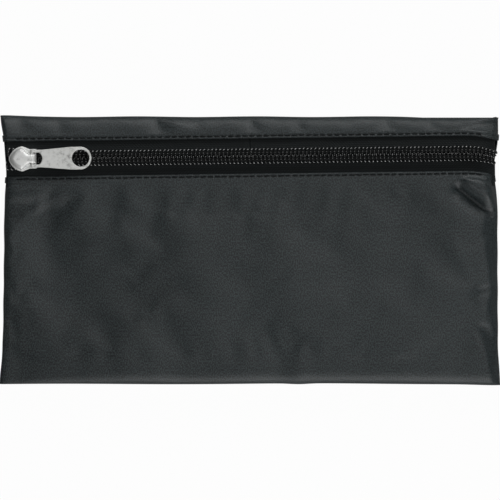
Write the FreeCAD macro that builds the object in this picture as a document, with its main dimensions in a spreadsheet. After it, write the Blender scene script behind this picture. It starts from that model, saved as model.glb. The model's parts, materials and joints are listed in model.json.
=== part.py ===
"""Zip pencil case of plain nylon cloth, lying on its back with the zip on top. Millimetres.

+X runs along the zip from the closed end, +Y towards the fold beside the zip and +Z up. The
origin is the middle of the face that the case lies on. The zip's own pieces are modelled in
the zip's frame, whose x axis is the zip's centre line and whose z = 0 is the tape's top face.
"""

import FreeCAD, Part
import math
import os
import Sketcher

SIZES = {
    # the cloth shell
    "case_length": 205.0,
    "case_height": 110.0,
    "case_thick": 9.5,
    "cloth_thick": 0.5,
    "side_tuck": 2.3,
    "end_slope": 10.0,
    "fold_slope": 8.0,
    "waist_slope": 1.2,
    "strip_slope": 2.5,
    "hem_width": 4.5,
    "hem_thick": 0.5,
    # the turned-in allowance of each side seam
    "allowance_width": 6.0,
    "allowance_gap": 0.4,
    "allowance_thick": 0.8,
    "allowance_end": 6.0,
    # the zip's place and its tapes
    "zip_from_top": 16.5,
    "zip_rise": 2.6,
    "hem_gap": 7.2,
    "tape_thick": 0.5,
    "tape_width": 10.4,
    "tape_edge": 1.4,
    "tape_tuck": 3.0,
    "tape_clear": 0.2,
    # the coils, with the filler cord and the thread in each
    "coil_pitch": 1.63,
    "coil_wire": 0.65,
    "coil_high": 2.2,
    "coil_out": 3.3,
    "coil_head": 0.55,
    "coil_end": 1.2,
    "coil_part": 1.4,
    "cord_bore": 0.85,
    "cord_offset": 1.2,
    "thread_thick": 0.3,
    "thread_width": 0.35,
    "thread_slack": 0.05,
    # the hem stitches and the seam stitches
    "stitch_length": 2.6,
    "stitch_pitch": 3.2,
    "stitch_inset": 1.4,
    "overedge_pitch": 3.0,
    "overedge_width": 3.0,
    # the slider
    "slider_gap": 1.35,
    "slider_length": 11.4,
    "slider_half": 5.15,
    "slider_wide": 5.6,
    "slider_throat": 8.6,
    "neck_half": 3.95,
    "nose_bulge": 6.4,
    "nose_round": 2.0,
    "flange_thick": 0.4,
    "run_clear": 0.15,
    "plate_thick": 0.85,
    "diamond_half": 0.62,
    "diamond_length": 5.4,
    "slot_high": 0.8,
    # the crown and the lock
    "crown_front": 0.5,
    "crown_half": 4.5,
    "crown_wide": 5.5,
    "crown_neck": 8.2,
    "crown_tail_half": 2.15,
    "crown_high": 2.3,
    "crown_round": 1.8,
    "crown_roof": 0.75,
    "crown_post": 0.6,
    "bar_play": 2.4,
    "lock_half": 0.7,
    "lock_thick": 0.3,
    "lock_length": 5.6,
    "lock_start": 1.9,
    "lock_gap": 0.15,
    "pawl_length": 0.6,
    "pawl_drop": 1.0,
    # the puller
    "puller_length": 24.4,
    "puller_thick": 1.2,
    "puller_neck": 7.2,
    "puller_end": 9.3,
    "puller_taper": 16.0,
    "pivot_back": 1.8,
    "pivot_high": 0.8,
    "bar_width": 1.3,
    "bar_round": 0.5,
    "window_width": 4.9,
    "window_end": 4.2,
    "hole_bore": 7.0,
    "hole_from_end": 4.5,
    "puller_droop": 2.4,
}

doc = FreeCAD.newDocument("pencil_case")
sheet = doc.addObject("Spreadsheet::Sheet", "dims")
for row, (alias, size) in enumerate(SIZES.items(), start=1):
    sheet.set(f"A{row}", alias)
    sheet.set(f"B{row}", str(size))
    sheet.setAlias(f"B{row}", alias)
doc.recompute()

nodes = []


def value(expression):
    """The number that an expression on the sheet stands for."""
    result = sheet.evalExpression(expression)
    return float(getattr(result, "Value", result))


def vector(x, y, z=0.0):
    return FreeCAD.Vector(x, y, z)


# Places that several pieces share, as expressions on the sheet.
ZIP_Y = "(dims.case_height / 2 - dims.zip_from_top)"
SHELL_TOP = "dims.case_thick"
TAPE_TOP = "(dims.case_thick - dims.cloth_thick)"
HALF_LENGTH = "(dims.case_length / 2)"
HALF_HEIGHT = "(dims.case_height / 2)"
WAIST = "(dims.case_length / 2 - dims.side_tuck)"
PLATEAU_WAIST = f"({WAIST} - dims.waist_slope)"
PLATEAU_SIDE = f"({HALF_LENGTH} - dims.end_slope)"
WALL_INSET = "(1.2 * dims.cloth_thick)"
PLATE_TOP = "(dims.coil_high + dims.run_clear + dims.plate_thick)"
PLATE_BOTTOM = "(-dims.tape_thick - dims.run_clear - dims.plate_thick)"
SLIDER_NOSE = f"({WAIST} - dims.slider_gap)"
ZIP_ANGLE = math.degrees(math.atan(value("dims.zip_rise / dims.case_length")))


def beside_zip(side, x, offset):
    """Y of a line parallel to the zip, offset from its middle, at the place x along the case."""
    return f"({ZIP_Y} + ({x}) * dims.zip_rise / dims.case_length + {side} * ({offset}))"


def new_body(name):
    body = doc.addObject("PartDesign::Body", name)
    nodes.append(body)
    return body


def sketch_on(body, name, role="XY_Plane", height="0"):
    """A sketch on one of the body's origin planes, raised by the height expression."""
    plane = next(feature for feature in body.Origin.OriginFeatures if feature.Role == role)
    sketch = body.newObject("Sketcher::SketchObject", name)
    sketch.AttachmentSupport = [(plane, "")]
    sketch.MapMode = "FlatFace"
    sketch.setExpression(".AttachmentOffset.Base.z", height)
    return sketch


def pin_point(sketch, edge, end, x, y):
    """Holds an end of a sketch edge at two distances taken from the sheet."""
    for way, expression in (("X", x), ("Y", y)):
        index = sketch.addConstraint(
            Sketcher.Constraint(f"Distance{way}", -1, 1, edge, end, value(expression))
        )
        sketch.setExpression(f"Constraints[{index}]", expression)


def arc_between(start, end, radius):
    """The arc of that radius from start to end, which bulges to the right of the way it runs."""
    chord = end - start
    middle = (start + end) * 0.5
    right = vector(chord.y, -chord.x).normalize()
    rise = radius - math.sqrt(radius**2 - (chord.Length / 2) ** 2)
    return Part.Arc(start, middle + right * rise, end)


def outline(sketch, points, arcs=None):
    """A closed outline through points given as expressions; arcs maps an edge to its radius."""
    arcs = arcs or {}
    places = [vector(value(x), value(y)) for x, y in points]
    count = len(points)
    first = sketch.GeometryCount
    for index, start in enumerate(places):
        end = places[(index + 1) % count]
        if index in arcs:
            sketch.addGeometry(arc_between(start, end, value(arcs[index])), False)
        else:
            sketch.addGeometry(Part.LineSegment(start, end), False)
    # An arc runs anticlockwise in a sketch, so one that was given the other way is turned round.
    begins = {}
    for index, start in enumerate(places):
        begins[index] = 1 if (sketch.getPoint(first + index, 1) - start).Length < 1e-6 else 2
    for index in range(count):
        following = (index + 1) % count
        sketch.addConstraint(
            Sketcher.Constraint(
                "Coincident", first + index, 3 - begins[index], first + following, begins[following]
            )
        )
        pin_point(sketch, first + index, begins[index], *points[index])
        if index in arcs:
            radius = sketch.addConstraint(
                Sketcher.Constraint("Radius", first + index, value(arcs[index]))
            )
            sketch.setExpression(f"Constraints[{radius}]", arcs[index])
    return sketch


def circle(sketch, x, y, radius):
    edge = sketch.addGeometry(
        Part.Circle(vector(value(x), value(y)), vector(0, 0, 1), value(radius)), False
    )
    pin_point(sketch, edge, 3, x, y)
    index = sketch.addConstraint(Sketcher.Constraint("Radius", edge, value(radius)))
    sketch.setExpression(f"Constraints[{index}]", radius)
    return sketch


def box_outline(sketch, x_low, x_high, y_low, y_high):
    return outline(sketch, [(x_low, y_low), (x_high, y_low), (x_high, y_high), (x_low, y_high)])


def pad(body, sketch, length):
    feature = body.newObject("PartDesign::Pad", f"{sketch.Name}_pad")
    feature.Profile = sketch
    feature.setExpression("Length", length)
    return feature


def pocket(body, sketch, depth):
    """Cuts upwards from the sketch to the depth expression, and checks that it cut something."""
    before = body_volume(body)
    feature = body.newObject("PartDesign::Pocket", f"{sketch.Name}_pocket")
    feature.Profile = sketch
    feature.Reversed = True
    feature.setExpression("Length", depth)
    if body_volume(body) >= before:
        raise RuntimeError(f"{feature.Name} cuts nothing")
    return feature


def loft(body, kind, low, high):
    feature = body.newObject(f"PartDesign::{kind}Loft", f"{low.Name}_loft")
    feature.Profile = low
    feature.Sections = [high]
    feature.Ruled = True
    return feature


def fillet(body, radius, chosen):
    """Rounds the edges of the body's shape for which chosen(edge) is true."""
    doc.recompute()
    base = body.Tip
    names = [f"Edge{n}" for n, edge in enumerate(base.Shape.Edges, start=1) if chosen(edge)]
    feature = body.newObject("PartDesign::Fillet", f"{body.Name}_round_{len(body.Group)}")
    feature.Base = (base, names)
    feature.setExpression("Radius", radius)
    return feature


def body_volume(body):
    doc.recompute()
    return body.Shape.Volume


def shape_node(name, shape):
    """A sub-part whose shape is many small repeated solids."""
    feature = doc.addObject("Part::Feature", name)
    feature.Shape = shape
    nodes.append(feature)
    return feature


def put_in_zip(node):
    """Moves a piece from the zip's own frame to its place on the case."""
    node.Placement = FreeCAD.Placement(
        vector(0, 0), FreeCAD.Rotation(vector(0, 0, 1), ZIP_ANGLE)
    )
    node.setExpression(".Placement.Base.y", ZIP_Y)
    node.setExpression(".Placement.Base.z", TAPE_TOP)


def upright(edge):
    return abs(edge.tangentAt(edge.FirstParameter).z) > 0.99


# ---------------------------------------------------------------- cloth


def shell_outline(side, kind):
    """The four corners of the front panel (side -1) or the top strip (side +1) seen from above.

    kind is base for the outline on the back panel and top for the outline of the level part.
    """
    if kind == "base":
        far_x = HALF_LENGTH
        far_y = f"{side} * {HALF_HEIGHT}"
        near_x = WAIST
    else:
        slope = "dims.fold_slope" if side < 0 else "dims.strip_slope"
        far_x = PLATEAU_SIDE if side < 0 else PLATEAU_WAIST
        far_y = f"{side} * ({HALF_HEIGHT} - {slope})"
        near_x = PLATEAU_WAIST
    return far_x, far_y, near_x


def shell_points(side, kind, inset, reach):
    """shell_outline with its walls moved in by inset and its zip side moved by reach."""
    far_x, far_y, near_x = shell_outline(side, kind)
    far = f"{far_y} - {side} * {inset}"
    near_left = f"{beside_zip(side, f'-{near_x}', 'dims.hem_gap')} - {side} * {reach}"
    near_right = f"{beside_zip(side, near_x, 'dims.hem_gap')} - {side} * {reach}"
    points = [
        (f"-({far_x} - {inset})", far),
        (f"{far_x} - {inset}", far),
        (f"{near_x} - {inset}", near_right),
        (f"-({near_x} - {inset})", near_left),
    ]
    return points


def cloth_shell(name, side):
    """A sheet of cloth that rises from the back panel to the level top, open beside the zip."""
    body = new_body(name)
    base = outline(sketch_on(body, f"{name}_base", height="dims.cloth_thick"),
                   shell_points(side, "base", "0", "0"))
    top = outline(sketch_on(body, f"{name}_top", height=SHELL_TOP),
                  shell_points(side, "top", "0", "0"))
    loft(body, "Additive", base, top)
    inner_base = outline(sketch_on(body, f"{name}_inner_base", height="0"),
                         shell_points(side, "base", WALL_INSET, "1"))
    inner_top = outline(sketch_on(body, f"{name}_inner_top", height=TAPE_TOP),
                        shell_points(side, "top", WALL_INSET, "1"))
    full = body_volume(body)
    loft(body, "Subtractive", inner_base, inner_top)
    if body_volume(body) >= full:
        raise RuntimeError(f"{name} isn't hollow")
    end = f"({PLATEAU_WAIST} - 2 * dims.cloth_thick)"
    hem = outline(
        sketch_on(body, f"{name}_hem", height=SHELL_TOP),
        [
            (f"-{end}", beside_zip(side, f"-{end}", "dims.hem_gap")),
            (end, beside_zip(side, end, "dims.hem_gap")),
            (end, beside_zip(side, end, "(dims.hem_gap + dims.hem_width)")),
            (f"-{end}", beside_zip(side, f"-{end}", "(dims.hem_gap + dims.hem_width)")),
        ],
    )
    pad(body, hem, "dims.hem_thick")
    return body


def allowance_points(side):
    edge = f"({WAIST} - {WALL_INSET} - dims.allowance_gap)"
    outer = f"{side} * {edge}"
    inner = f"{side} * ({edge} - dims.allowance_width)"
    low = f"-{HALF_HEIGHT} + dims.allowance_end"
    high = beside_zip(-1, "0", "(dims.hem_gap + dims.tape_width)")
    return outer, inner, low, high


def make_back_panel():
    """The cloth that the case lies on, with the seam allowances and the cloth at the zip's ends."""
    body = new_body("back_panel")
    waist_right = beside_zip(1, WAIST, "0")
    waist_left = beside_zip(1, f"-{WAIST}", "0")
    flat = outline(
        sketch_on(body, "back_outline"),
        [
            (f"-{HALF_LENGTH}", f"-{HALF_HEIGHT}"),
            (HALF_LENGTH, f"-{HALF_HEIGHT}"),
            (WAIST, waist_right),
            (HALF_LENGTH, HALF_HEIGHT),
            (f"-{HALF_LENGTH}", HALF_HEIGHT),
            (f"-{WAIST}", waist_left),
        ],
    )
    pad(body, flat, "dims.cloth_thick")
    for side, word in ((-1, "left"), (1, "right")):
        outer, inner, low, high = allowance_points(side)
        band = sketch_on(body, f"{word}_allowance", height="dims.cloth_thick")
        box_outline(band, outer, inner, low, high)
        pad(body, band, "dims.allowance_thick")
        end = sketch_on(body, f"{word}_end_wall", height="dims.cloth_thick")
        inside = f"{side} * ({WAIST} - dims.cloth_thick)"
        middle = f"{side} * {WAIST}"
        reach = "(dims.hem_gap - 0.2)"
        box_outline(end, f"{side} * {WAIST}", inside,
                    beside_zip(-1, middle, reach), beside_zip(1, middle, reach))
        pad(body, end, "dims.case_thick - 2 * dims.cloth_thick - dims.tape_thick")
    return body


def stitch_row(name, start, direction, count, height, length, width, thick, lean=0.0):
    """A row of flat stitches from start along direction, leaning one way and the other in turn."""
    stitch = Part.makeBox(length, width, thick, vector(-length / 2, -width / 2, 0))
    stitch.rotate(vector(0, 0), vector(0, 0, 1), math.degrees(math.atan2(direction.y, direction.x)))
    solids = []
    for index in range(count):
        copy = stitch.copy()
        copy.rotate(vector(0, 0), vector(0, 0, 1), lean if index % 2 else -lean)
        copy.translate(start + direction * index + vector(0, 0, height))
        solids.append(copy)
    return shape_node(name, Part.makeCompound(solids))


def make_topstitch(name, side):
    """Stitches on a hem, a little way in from its edge."""
    offset = value("dims.hem_gap + dims.stitch_inset")
    reach = value(f"{PLATEAU_WAIST} - 2 * dims.cloth_thick")
    pitch = value("dims.stitch_pitch")
    length = value("dims.stitch_length")
    count = int((2 * reach - length) / pitch)
    start = vector(-(count - 1) * pitch / 2, side * offset)
    node = stitch_row(name, start, vector(pitch, 0), count, value("dims.cloth_thick + dims.hem_thick"),
                      length, value("dims.thread_width"), value("dims.thread_thick"))
    put_in_zip(node)


def make_seam_threads(side, word):
    """The lockstitch beside the side seam and the zigzag over the raw edge of its allowance."""
    outer, inner, low, high = (value(expression) for expression in allowance_points(side))
    pitch = value("dims.stitch_pitch")
    height = value("dims.cloth_thick + dims.allowance_thick")
    width = value("dims.thread_width")
    thick = value("dims.thread_thick")
    length = value("dims.stitch_length")
    count = int((high - low - length) / pitch)
    inset = value("dims.stitch_inset") / 2
    stitch_row(f"{word}_side_seam", vector(outer - side * inset, low + length), vector(0, pitch),
               count, height, length, width, thick)
    zigzag = value("dims.overedge_pitch")
    reach = value("dims.overedge_width")
    stitch_row(f"{word}_overedge_thread", vector(inner + side * (reach / 2 + inset), low + length),
               vector(0, zigzag), int((high - low - length) / zigzag), height,
               reach, width, thick, lean=65.0)


# ---------------------------------------------------------------- zip


def make_tape(name, side):
    """A woven tape: its middle runs to the side seams and its rest ends inside the cloth."""
    body = new_body(name)
    full = WAIST
    short = f"({PLATEAU_WAIST} - dims.tape_tuck)"
    near = f"{side} * dims.tape_edge"
    step = f"{side} * (dims.hem_gap - dims.tape_clear)"
    far = f"{side} * (dims.tape_edge + dims.tape_width)"
    points = [
        (f"-{full}", near),
        (full, near),
        (full, step),
        (short, step),
        (short, far),
        (f"-{short}", far),
        (f"-{short}", step),
        (f"-{full}", step),
    ]
    pad(body, outline(sketch_on(body, f"{name}_outline", height="-dims.tape_thick"), points),
        "dims.tape_thick")
    put_in_zip(body)


def parting(x):
    """How far a coil stands off its closed line at x, because the slider holds the two apart."""
    nose = -value(SLIDER_NOSE)
    throat = nose + value("dims.slider_throat")
    wide = nose + value("dims.slider_wide") - value("dims.slider_throat - dims.slider_wide")
    share = min(max((throat - x) / (throat - wide), 0.0), 1.0)
    return value("dims.coil_part") * share


def coil_turn(x, shift, next_shift):
    """One turn of a coil, from the middle of a lower leg to the middle of the next one."""
    wire = value("dims.coil_wire")
    pitch = value("dims.coil_pitch")
    low = wire / 2
    high = value("dims.coil_high") - wire / 2
    bend = (high - low) / 2
    head = bend + wire / 2 - value("dims.coil_head")
    tail_bend = math.hypot(high - low, pitch) / 2
    tail = value("dims.coil_out") - wire / 2 - tail_bend
    middle = (head + tail) / 2
    points = [
        vector(x, middle + shift, low),
        vector(x, head + shift, low),
        vector(x, head + shift - bend, (low + high) / 2),
        vector(x, head + shift, high),
        vector(x, tail + shift, high),
        vector(x + pitch / 2, tail + shift + tail_bend, (low + high) / 2),
        vector(x + pitch, tail + shift, low),
        vector(x + pitch, middle + next_shift, low),
    ]
    path = Part.Wire([
        Part.makeLine(points[0], points[1]),
        Part.Arc(points[1], points[2], points[3]).toShape(),
        Part.makeLine(points[3], points[4]),
        Part.Arc(points[4], points[5], points[6]).toShape(),
        Part.makeLine(points[6], points[7]),
    ])
    section = Part.Wire([Part.makeCircle(wire / 2, points[0], vector(0, 1, 0))])
    return path.makePipeShell([section], True, True)


def coil_places(side):
    """The x of each turn; the lower coil's turns stand half a pitch from the upper coil's."""
    pitch = value("dims.coil_pitch")
    reach = value(f"{WAIST} - dims.coil_end")
    count = int((2 * reach - pitch) / pitch)
    start = -count * pitch / 2 + (0.25 * pitch if side > 0 else -0.25 * pitch)
    return [start + index * pitch for index in range(count)]


def make_coil(word, side):
    """A coil and the stitches that hold it, one between each two turns, on the filler cord."""
    pitch = value("dims.coil_pitch")
    turns = []
    stitches = []
    length = pitch - value("dims.coil_wire") - 2 * value("dims.thread_slack")
    width = value("dims.thread_width")
    thick = value("dims.thread_thick")
    cord_top = value("(dims.coil_high + dims.cord_bore) / 2")
    standard = coil_turn(0.0, 0.0, 0.0)
    for x in coil_places(side):
        shift = parting(x)
        if parting(x) or parting(x + pitch):
            turns.append(coil_turn(x, shift, parting(x + pitch)))
        else:
            turns.append(standard.translated(vector(x, 0)))
        stitches.append(Part.makeBox(length, width, thick, vector(
            x + (pitch - length) / 2,
            value("dims.cord_offset") + parting(x + pitch / 2) - width / 2,
            cord_top,
        )))
    for name, solids in ((f"{word}_coil", turns), (f"{word}_coil_thread", stitches)):
        shape = Part.makeCompound(solids)
        if side < 0:
            shape = shape.mirror(vector(0, 0), vector(0, 1, 0))
        put_in_zip(shape_node(name, shape))


def make_coil_cord(name, side):
    """The round filler cord that runs through a coil and parts with it at the closed end."""
    body = new_body(name)
    spine = sketch_on(body, f"{name}_spine", height="dims.coil_high / 2")
    start = f"-({WAIST} - dims.coil_end)"
    throat = along_slider("dims.slider_throat")
    wide = along_slider("(2 * dims.slider_wide - dims.slider_throat)")
    closed = f"{side} * dims.cord_offset"
    parted = f"{side} * (dims.cord_offset + dims.coil_part)"
    route = [(start, parted), (wide, parted), (throat, closed), (f"-{start}", closed)]
    for index, (tail, tip) in enumerate(zip(route, route[1:])):
        places = [vector(value(x), value(y)) for x, y in (tail, tip)]
        sketch_edge = spine.addGeometry(Part.LineSegment(*places), False)
        pin_point(spine, sketch_edge, 1, *tail)
        if index:
            spine.addConstraint(Sketcher.Constraint("Coincident", index - 1, 2, index, 1))
    pin_point(spine, len(route) - 2, 2, *route[-1])
    section = sketch_on(body, f"{name}_section", "YZ_Plane", start)
    circle(section, closed.replace("dims.cord_offset", "(dims.cord_offset + dims.coil_part)"),
           "dims.coil_high / 2", "dims.cord_bore / 2")
    pipe = body.newObject("PartDesign::AdditivePipe", f"{name}_pipe")
    pipe.Profile = section
    pipe.Spine = (spine, [])
    pipe.Transition = "Right corner"
    put_in_zip(body)


# ---------------------------------------------------------------- slider, in the zip's frame


def along_slider(distance):
    """An x at that distance behind the slider's nose."""
    return f"({distance} - {SLIDER_NOSE})"


def at_nose(edge, nose):
    return upright(edge) and abs(edge.CenterOfMass.x - value(nose)) < 0.01


def make_slider_body():
    """Two plates joined by the diamond at the nose, with side flanges that ride on the chain."""
    body = new_body("slider_body")
    nose = along_slider("0")
    wide = along_slider("dims.slider_wide")
    throat = along_slider("dims.slider_throat")
    rear = along_slider("dims.slider_length")
    block = outline(
        sketch_on(body, "slider_outline", height=PLATE_BOTTOM),
        [
            (nose, "0"),
            (wide, "-dims.slider_half"),
            (throat, "-dims.neck_half"),
            (rear, "-dims.neck_half"),
            (rear, "dims.neck_half"),
            (throat, "dims.neck_half"),
            (wide, "dims.slider_half"),
        ],
        arcs={0: "dims.nose_bulge", 6: "dims.nose_bulge"},
    )
    pad(body, block, f"{PLATE_TOP} - {PLATE_BOTTOM}")
    fillet(body, "dims.nose_round", lambda edge: at_nose(edge, nose))
    channel_half = "(dims.neck_half - dims.flange_thick)"
    mouth_half = "(dims.slider_half - dims.flange_thick + 0.1)"
    ahead = along_slider("-2")
    beyond = along_slider("(dims.slider_length + 1)")
    tip = along_slider("dims.diamond_length")
    shoulder = along_slider("dims.diamond_length / 2")
    channel = outline(
        sketch_on(body, "slider_channel", height="-dims.tape_thick - dims.run_clear"),
        [
            (ahead, "-dims.diamond_half"),
            (ahead, f"-{mouth_half}"),
            (wide, f"-{mouth_half}"),
            (throat, f"-{channel_half}"),
            (beyond, f"-{channel_half}"),
            (beyond, channel_half),
            (throat, channel_half),
            (wide, mouth_half),
            (ahead, mouth_half),
            (ahead, "dims.diamond_half"),
            (shoulder, "dims.diamond_half"),
            (tip, "0"),
            (shoulder, "-dims.diamond_half"),
        ],
    )
    pocket(body, channel, "dims.tape_thick + dims.coil_high + 2 * dims.run_clear")
    for side, word in ((-1, "lower"), (1, "upper")):
        slot = sketch_on(body, f"{word}_tape_slot", height="-dims.tape_thick - dims.run_clear")
        box_outline(slot, ahead, beyond, f"{side} * 2", f"{side} * 7")
        pocket(body, slot, "dims.slot_high")
    hole = sketch_on(body, "pawl_hole", height="dims.coil_high")
    front, back, half = pawl_place()
    box_outline(hole, f"{front} - 0.3", f"{back} + 0.3", f"-{half} - 0.15", f"{half} + 0.15")
    pocket(body, hole, "2 * dims.plate_thick")
    put_in_zip(body)


def pawl_place():
    back = along_slider("(dims.lock_start + dims.lock_length)")
    front = f"({back} - dims.pawl_length)"
    return front, back, "dims.lock_half"


def make_slider_crown():
    """The domed cap, open below for the lock spring and from side to side for the puller's bar."""
    body = new_body("slider_crown")
    front = along_slider("dims.crown_front")
    wide = along_slider("dims.crown_wide")
    neck = along_slider("dims.crown_neck")
    rear = along_slider("dims.slider_length")
    cap = outline(
        sketch_on(body, "crown_outline", height=PLATE_TOP),
        [
            (front, "0"),
            (wide, "-dims.crown_half"),
            (neck, "-dims.crown_tail_half"),
            (rear, "-dims.crown_tail_half"),
            (rear, "dims.crown_tail_half"),
            (neck, "dims.crown_tail_half"),
            (wide, "dims.crown_half"),
        ],
        arcs={0: "dims.nose_bulge", 6: "dims.nose_bulge"},
    )
    pad(body, cap, "dims.crown_high")
    fillet(body, "dims.nose_round", lambda edge: at_nose(edge, front))
    top = value(f"{PLATE_TOP} + dims.crown_high")
    fillet(body, "dims.crown_round", lambda edge: edge.BoundBox.ZMin > top - 0.01)
    slot = sketch_on(body, "crown_slot", height=PLATE_TOP)
    bar_end = along_slider("(dims.slider_length - dims.crown_post)")
    bar_start = f"({bar_end} - dims.bar_play)"
    box_outline(slot, bar_start, bar_end, "-dims.crown_half", "dims.crown_half")
    pocket(body, slot, "dims.crown_high - dims.crown_roof")
    well = sketch_on(body, "lock_well", height=PLATE_TOP)
    box_outline(well, along_slider("(dims.lock_start - dims.lock_gap)"), bar_start,
                "-dims.lock_half - dims.lock_gap", "dims.lock_half + dims.lock_gap")
    pocket(body, well, "dims.crown_high - dims.crown_roof")
    put_in_zip(body)


def make_lock_spring():
    """A flat leaf inside the crown; its pawl reaches through the upper plate to the chain."""
    body = new_body("lock_spring")
    front, back, half = pawl_place()
    leaf = sketch_on(body, "lock_leaf", height=f"{PLATE_TOP} + dims.lock_gap")
    box_outline(leaf, along_slider("dims.lock_start"), back, f"-{half}", half)
    pad(body, leaf, "dims.lock_thick")
    pawl = sketch_on(body, "lock_pawl", height=f"{PLATE_TOP} + dims.lock_gap - dims.pawl_drop")
    box_outline(pawl, front, back, f"-{half}", half)
    pad(body, pawl, "dims.pawl_drop")
    put_in_zip(body)


def make_puller():
    """The flat tab, modelled with its bar's centre line as its own origin."""
    body = new_body("puller")
    start = "-dims.bar_width / 2"
    neck = "dims.puller_neck / 2"
    end = "dims.puller_end / 2"
    blank = outline(
        sketch_on(body, "puller_outline", height="-dims.puller_thick / 2"),
        [
            (start, f"-{neck}"),
            ("dims.window_end", f"-{neck}"),
            ("dims.puller_taper", f"-{end}"),
            ("dims.puller_length", f"-{end}"),
            ("dims.puller_length", end),
            ("dims.puller_taper", end),
            ("dims.window_end", neck),
            (start, neck),
        ],
    )
    pad(body, blank, "dims.puller_thick")
    tip = value("dims.puller_length")
    fillet(body, "dims.puller_end / 2 - 0.01",
           lambda edge: upright(edge) and edge.BoundBox.XMin > tip - 0.01)
    window = sketch_on(body, "puller_window", height="-dims.puller_thick / 2")
    half = "dims.window_width / 2"
    outline(
        window,
        [("dims.bar_width / 2", f"-{half}"), ("dims.window_end - 1.4", f"-{half}"),
         ("dims.window_end - 1.4", half), ("dims.bar_width / 2", half)],
        arcs={1: "dims.window_width / 2 + 0.4"},
    )
    pocket(body, window, "dims.puller_thick")
    hole = sketch_on(body, "puller_hole", height="-dims.puller_thick / 2")
    circle(hole, "dims.puller_length - dims.hole_from_end", "0", "dims.hole_bore / 2")
    pocket(body, hole, "dims.puller_thick")
    bar = value("dims.bar_width") / 2
    fillet(body, "dims.bar_round",
           lambda edge: not upright(edge) and edge.BoundBox.XLength < 0.01
           and abs(abs(edge.BoundBox.XMin) - bar) < 0.01)
    lean = FreeCAD.Rotation(vector(0, 0, 1), ZIP_ANGLE).multiply(
        FreeCAD.Rotation(vector(0, 1, 0), value("dims.puller_droop")))
    pivot = value(along_slider("(dims.slider_length - dims.pivot_back)"))
    angle = math.radians(ZIP_ANGLE)
    body.Placement = FreeCAD.Placement(
        vector(pivot * math.cos(angle), value(ZIP_Y) + pivot * math.sin(angle)), lean)
    body.setExpression(".Placement.Base.z", f"{TAPE_TOP} + {PLATE_TOP} + dims.pivot_high")


make_back_panel()
cloth_shell("front_panel", -1)
cloth_shell("top_strip", 1)
for side, word in ((-1, "lower"), (1, "upper")):
    make_tape(f"{word}_tape", side)
    make_coil(word, side)
    make_coil_cord(f"{word}_coil_cord", side)
    make_topstitch(f"{word}_topstitch", side)
for side, word in ((-1, "left"), (1, "right")):
    make_seam_threads(side, word)
make_slider_body()
make_slider_crown()
make_lock_spring()
make_puller()
doc.recompute()

for item in doc.Objects:
    if "Invalid" in item.State or "Error" in item.State:
        raise RuntimeError(f"{item.Name} failed: {item.State}")
os.makedirs("parts", exist_ok=True)
for node in nodes:
    if node.Shape.isNull() or not node.Shape.isValid():
        raise RuntimeError(f"{node.Label} has no valid shape")
for node in nodes:
    node.Shape.exportStep(f"parts/{node.Label}.step")
    print(node.Label, len(node.Shape.Solids), round(node.Shape.Volume, 2), node.Shape.BoundBox)
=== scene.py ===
import json
import math

import bpy
import numpy as np
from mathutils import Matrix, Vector


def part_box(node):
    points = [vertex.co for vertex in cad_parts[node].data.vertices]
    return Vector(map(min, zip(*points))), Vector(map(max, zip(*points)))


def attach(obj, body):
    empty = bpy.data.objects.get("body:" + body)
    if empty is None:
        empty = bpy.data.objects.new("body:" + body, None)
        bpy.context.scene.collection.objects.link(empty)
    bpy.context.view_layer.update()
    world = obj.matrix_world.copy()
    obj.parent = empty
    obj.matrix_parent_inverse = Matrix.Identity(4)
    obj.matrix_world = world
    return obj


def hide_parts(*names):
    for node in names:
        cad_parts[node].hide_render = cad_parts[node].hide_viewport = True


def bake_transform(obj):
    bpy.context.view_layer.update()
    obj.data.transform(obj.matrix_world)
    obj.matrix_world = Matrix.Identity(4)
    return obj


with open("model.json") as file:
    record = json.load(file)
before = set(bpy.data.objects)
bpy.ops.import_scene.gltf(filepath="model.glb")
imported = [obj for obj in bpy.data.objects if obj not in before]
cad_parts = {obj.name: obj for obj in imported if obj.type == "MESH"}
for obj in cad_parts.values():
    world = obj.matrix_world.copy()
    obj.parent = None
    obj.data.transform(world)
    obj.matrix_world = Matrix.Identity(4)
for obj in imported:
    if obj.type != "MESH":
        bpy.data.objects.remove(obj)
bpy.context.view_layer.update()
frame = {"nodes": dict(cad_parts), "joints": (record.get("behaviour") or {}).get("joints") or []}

MM = 0.001

# ------------------------------------------------------------------ the frame, in millimetres


def node_box(node):
    """A node's low and high corners in millimetres."""
    low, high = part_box(node)
    return np.array(low) / MM, np.array(high) / MM


JOINTS = {joint["name"]: joint for joint in frame["joints"]}
HALF_LENGTH, HALF_HEIGHT = node_box("back_panel")[1][:2]
LOWER_TAPE_LOW, LOWER_TAPE_HIGH = node_box("lower_tape")
TAPE_TOP = LOWER_TAPE_HIGH[2]
ZIP_Y = (LOWER_TAPE_LOW[1] + node_box("upper_tape")[1][1]) / 2
ZIP_COS, ZIP_SIN = JOINTS["zip_travel"]["axis"][:2]
ZIP_SLOPE = ZIP_SIN / ZIP_COS
SHELL_TOP = node_box("front_panel")[1][2]
SLIDER_LEFT = node_box("slider_body")[0][0]
HINGE_Y = JOINTS["mouth_opening"]["pos_m"][1] / MM

# Sizes of the cloth and the zip that the frame doesn't state, in millimetres.
CLOTH = 0.45
WAIST = 100.3  # half the length between the side seams
HEM_GAP = 7.2  # from the zip's middle to a hem's edge
TAPE = 0.42
TAPE_FAR = 11.7
TAPE_NEAR = 1.3
COIL_PITCH = 1.63
COIL_HEAD = 0.55
COIL_OUT = 3.3
COIL_HIGH = 2.2
COIL_WIRE = 0.65
CORD_OUT = 1.2
CORD_RADIUS = 0.42

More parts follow.
